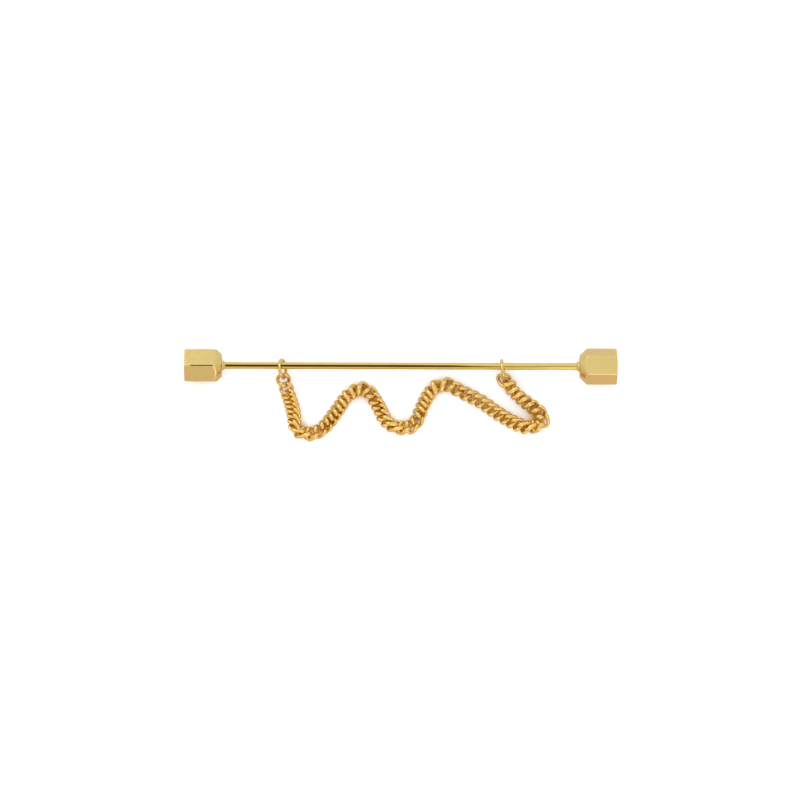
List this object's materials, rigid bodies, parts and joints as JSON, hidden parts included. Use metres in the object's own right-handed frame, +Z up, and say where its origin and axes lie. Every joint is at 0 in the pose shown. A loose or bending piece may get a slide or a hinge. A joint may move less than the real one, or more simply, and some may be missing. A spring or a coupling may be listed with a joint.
{
  "type": "collar pin",
  "caption": "Slim collar bar with a hexagonal cap at each end, one of which screws off, and a curb chain that hangs between two jump rings on the bar.",
  "frame": {"origin": "middle of the part's outline, on the surface that the part lies on", "axes": "+X along the bar toward the screw cap, +Y from the chain toward the bar, +Z up from the surface that the part lies on"},
  "size_m": [0.062, 0.0134, 0.0052],
  "materials": {
    "bar_gold": "polished, gold-coloured plating",
    "cap_gold": "polished to a soft shine, gold-coloured plating",
    "ring_gold": "polished, gold-coloured plating",
    "chain_gold": "bright, gold-coloured plating"
  },
  "bodies": {
    "bar": {"bar": "bar_gold", "fixed_cap": "cap_gold", "ring_left": "ring_gold", "ring_right": "ring_gold", "chain_left": "chain_gold", "chain_right": "chain_gold"},
    "screw_cap": {"screw_cap": "cap_gold"}
  },
  "joints": [
    {"name": "screw_cap_slide", "type": "slide", "parent": "bar", "child": "screw_cap", "axis": [1, 0, -0.0035], "range_m": [0, 0.01]}
  ]
}
